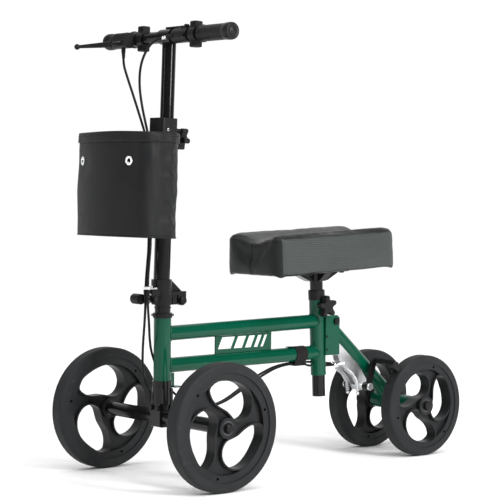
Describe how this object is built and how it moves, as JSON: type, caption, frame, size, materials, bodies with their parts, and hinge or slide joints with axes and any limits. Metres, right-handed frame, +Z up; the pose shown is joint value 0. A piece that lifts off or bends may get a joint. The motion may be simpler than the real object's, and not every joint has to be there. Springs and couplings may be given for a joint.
{
  "type": "knee scooter",
  "caption": "Steerable knee scooter: low frame on four wheels with a knee pad, a folding stem with handlebar, front bag and rear brakes.",
  "frame": {"origin": "middle of the footprint, on the ground", "axes": "+Z up; the front is -Y; +X is the rider's left"},
  "size_m": [0.3952, 0.8356, 0.8295],
  "materials": {
    "green_paint": "gloss",
    "black_paint": "gloss",
    "black_steel": "satin",
    "zinc_steel": "satin",
    "chrome_steel": "polished",
    "bearing_steel": "satin",
    "black_plastic": "satin",
    "wheel_plastic": "satin",
    "tyre_grey": "matte",
    "grip_rubber": "satin",
    "cable_sheath": "gloss",
    "strap_fabric": "matte",
    "bag_leather": "satin",
    "pad_vinyl": "satin"
  },
  "bodies": {
    "frame": {"head_tube": "green_paint", "headset_cups": "black_paint", "headset_bearings": "bearing_steel", "upper_tube": "green_paint", "lower_tube": "green_paint", "name_plate": "green_paint", "seat_tube": "green_paint", "seat_collar": "black_plastic", "rear_bracket": "green_paint", "rear_tube": "green_paint", "rear_axle_tube": "green_paint", "frame_bolts": "black_steel", "rear_bearings": "bearing_steel", "cable_strap": "strap_fabric", "brake_plate": "zinc_steel", "brake_springs": "zinc_steel", "cables_frame": "cable_sheath"},
    "fork": {"steerer": "black_paint", "headset_nut": "black_paint", "fork_crown": "black_paint", "front_beam": "black_paint", "front_bolts": "black_steel", "front_bearings": "bearing_steel", "fold_block_lower": "black_paint", "fold_pin": "black_steel", "cables_steer": "cable_sheath"},
    "stem": {"fold_block_upper": "black_paint", "lower_stem": "black_paint", "stem_bushing": "black_plastic", "stem_collar": "black_plastic", "stem_bolts": "chrome_steel", "bag": "bag_leather", "bag_eyelets": "chrome_steel", "cables_stem": "cable_sheath"},
    "latch": {"fold_lever": "black_plastic"},
    "bar": {"upper_stem": "black_paint", "handlebar": "black_paint", "grips": "grip_rubber", "bar_clamps": "black_plastic", "brake_housing": "black_plastic", "parking_housing": "black_plastic", "cables_bar": "cable_sheath"},
    "brake_lever": {"brake_lever": "black_plastic"},
    "parking_lever": {"parking_lever": "black_steel"},
    "stem_knob": {"stem_knob": "black_plastic"},
    "seat_knob": {"seat_knob": "black_plastic"},
    "seat": {"seat_post": "black_paint", "seat_plate": "black_paint", "knee_pad": "pad_vinyl", "seat_bolts": "black_steel"},
    "front_wheel_left": {"front_wheel_left": "wheel_plastic", "front_tyre_left": "tyre_grey"},
    "front_wheel_right": {"front_wheel_right": "wheel_plastic", "front_tyre_right": "tyre_grey"},
    "rear_wheel_left": {"rear_wheel_left": "wheel_plastic", "rear_tyre_left": "tyre_grey"},
    "rear_wheel_right": {"rear_wheel_right": "wheel_plastic", "rear_tyre_right": "tyre_grey"},
    "rear_brake_left": {"brake_arm_left": "black_steel"},
    "rear_brake_right": {"brake_arm_right": "black_steel"}
  },
  "joints": [
    {"name": "steering", "type": "hinge", "parent": "frame", "child": "fork", "pos_m": [0, -0.27712, 0.24], "axis": [0, 0, 1], "range_deg": [-40, 40], "deforming": ["cables_steer"]},
    {"name": "stem_fold", "type": "hinge", "parent": "fork", "child": "stem", "pos_m": [0, -0.24512, 0.327], "axis": [1, 0, 0], "range_deg": [-55, 0], "deforming": ["cables_stem"]},
    {"name": "fold_latch", "type": "hinge", "parent": "stem", "child": "latch", "pos_m": [0, -0.30362, 0.331], "axis": [-1, 0, 0], "range_deg": [0, 75]},
    {"name": "bar_height", "type": "slide", "parent": "stem", "child": "bar", "axis": [0, 0.0314, 0.9995], "range_m": [-0.1, 0.06], "deforming": ["cables_bar"]},
    {"name": "brake_squeeze", "type": "hinge", "parent": "bar", "child": "brake_lever", "pos_m": [-0.1, -0.29522, 0.79769], "axis": [0, -0.0314, -0.9995], "range_deg": [0, 20], "stiffness_Nm_per_rad": 0.5, "springref_deg": -11.46},
    {"name": "parking_swing", "type": "hinge", "parent": "bar", "child": "parking_lever", "pos_m": [0.054, -0.26851, 0.81986], "axis": [0, 0.0314, 0.9995], "range_deg": [0, 40]},
    {"name": "stem_knob_turn", "type": "hinge", "parent": "stem", "child": "stem_knob", "pos_m": [0, -0.24418, 0.623], "axis": [0, 0.9995, -0.0314], "range_deg": [0, 540]},
    {"name": "seat_knob_turn", "type": "hinge", "parent": "frame", "child": "seat_knob", "pos_m": [0.022, 0.10348, 0.3035], "axis": [1, 0, 0], "range_deg": [0, 540]},
    {"name": "seat_height", "type": "slide", "parent": "frame", "child": "seat", "axis": [0, -0.0445, 0.999], "range_m": [0, 0.1]},
    {"name": "front_spin_left", "type": "hinge", "parent": "fork", "child": "front_wheel_left", "pos_m": [0.1753, -0.27712, 0.1145], "axis": [1, 0, 0], "continuous": true},
    {"name": "front_spin_right", "type": "hinge", "parent": "fork", "child": "front_wheel_right", "pos_m": [-0.1753, -0.27712, 0.1145], "axis": [1, 0, 0], "continuous": true},
    {"name": "rear_spin_left", "type": "hinge", "parent": "frame", "child": "rear_wheel_left", "pos_m": [0.076, 0.31728, 0.1005], "axis": [1, 0, 0], "continuous": true},
    {"name": "rear_spin_right", "type": "hinge", "parent": "frame", "child": "rear_wheel_right", "pos_m": [-0.076, 0.31728, 0.1005], "axis": [1, 0, 0], "continuous": true},
    {"name": "rear_brake_left", "type": "hinge", "parent": "frame", "child": "rear_brake_left", "pos_m": [0, 0.21488, 0.14], "axis": [-1, 0, 0], "range_deg": [0, 3]},
    {"name": "rear_brake_right", "type": "hinge", "parent": "frame", "child": "rear_brake_right", "pos_m": [0, 0.21488, 0.14], "axis": [-1, 0, 0], "range_deg": [0, 3]}
  ],
  "couplings": [
    {"joint": "rear_brake_right", "follows": "brake_squeeze", "ratio": 0.14},
    {"joint": "rear_brake_left", "follows": "parking_swing", "ratio": 0.07}
  ]
}
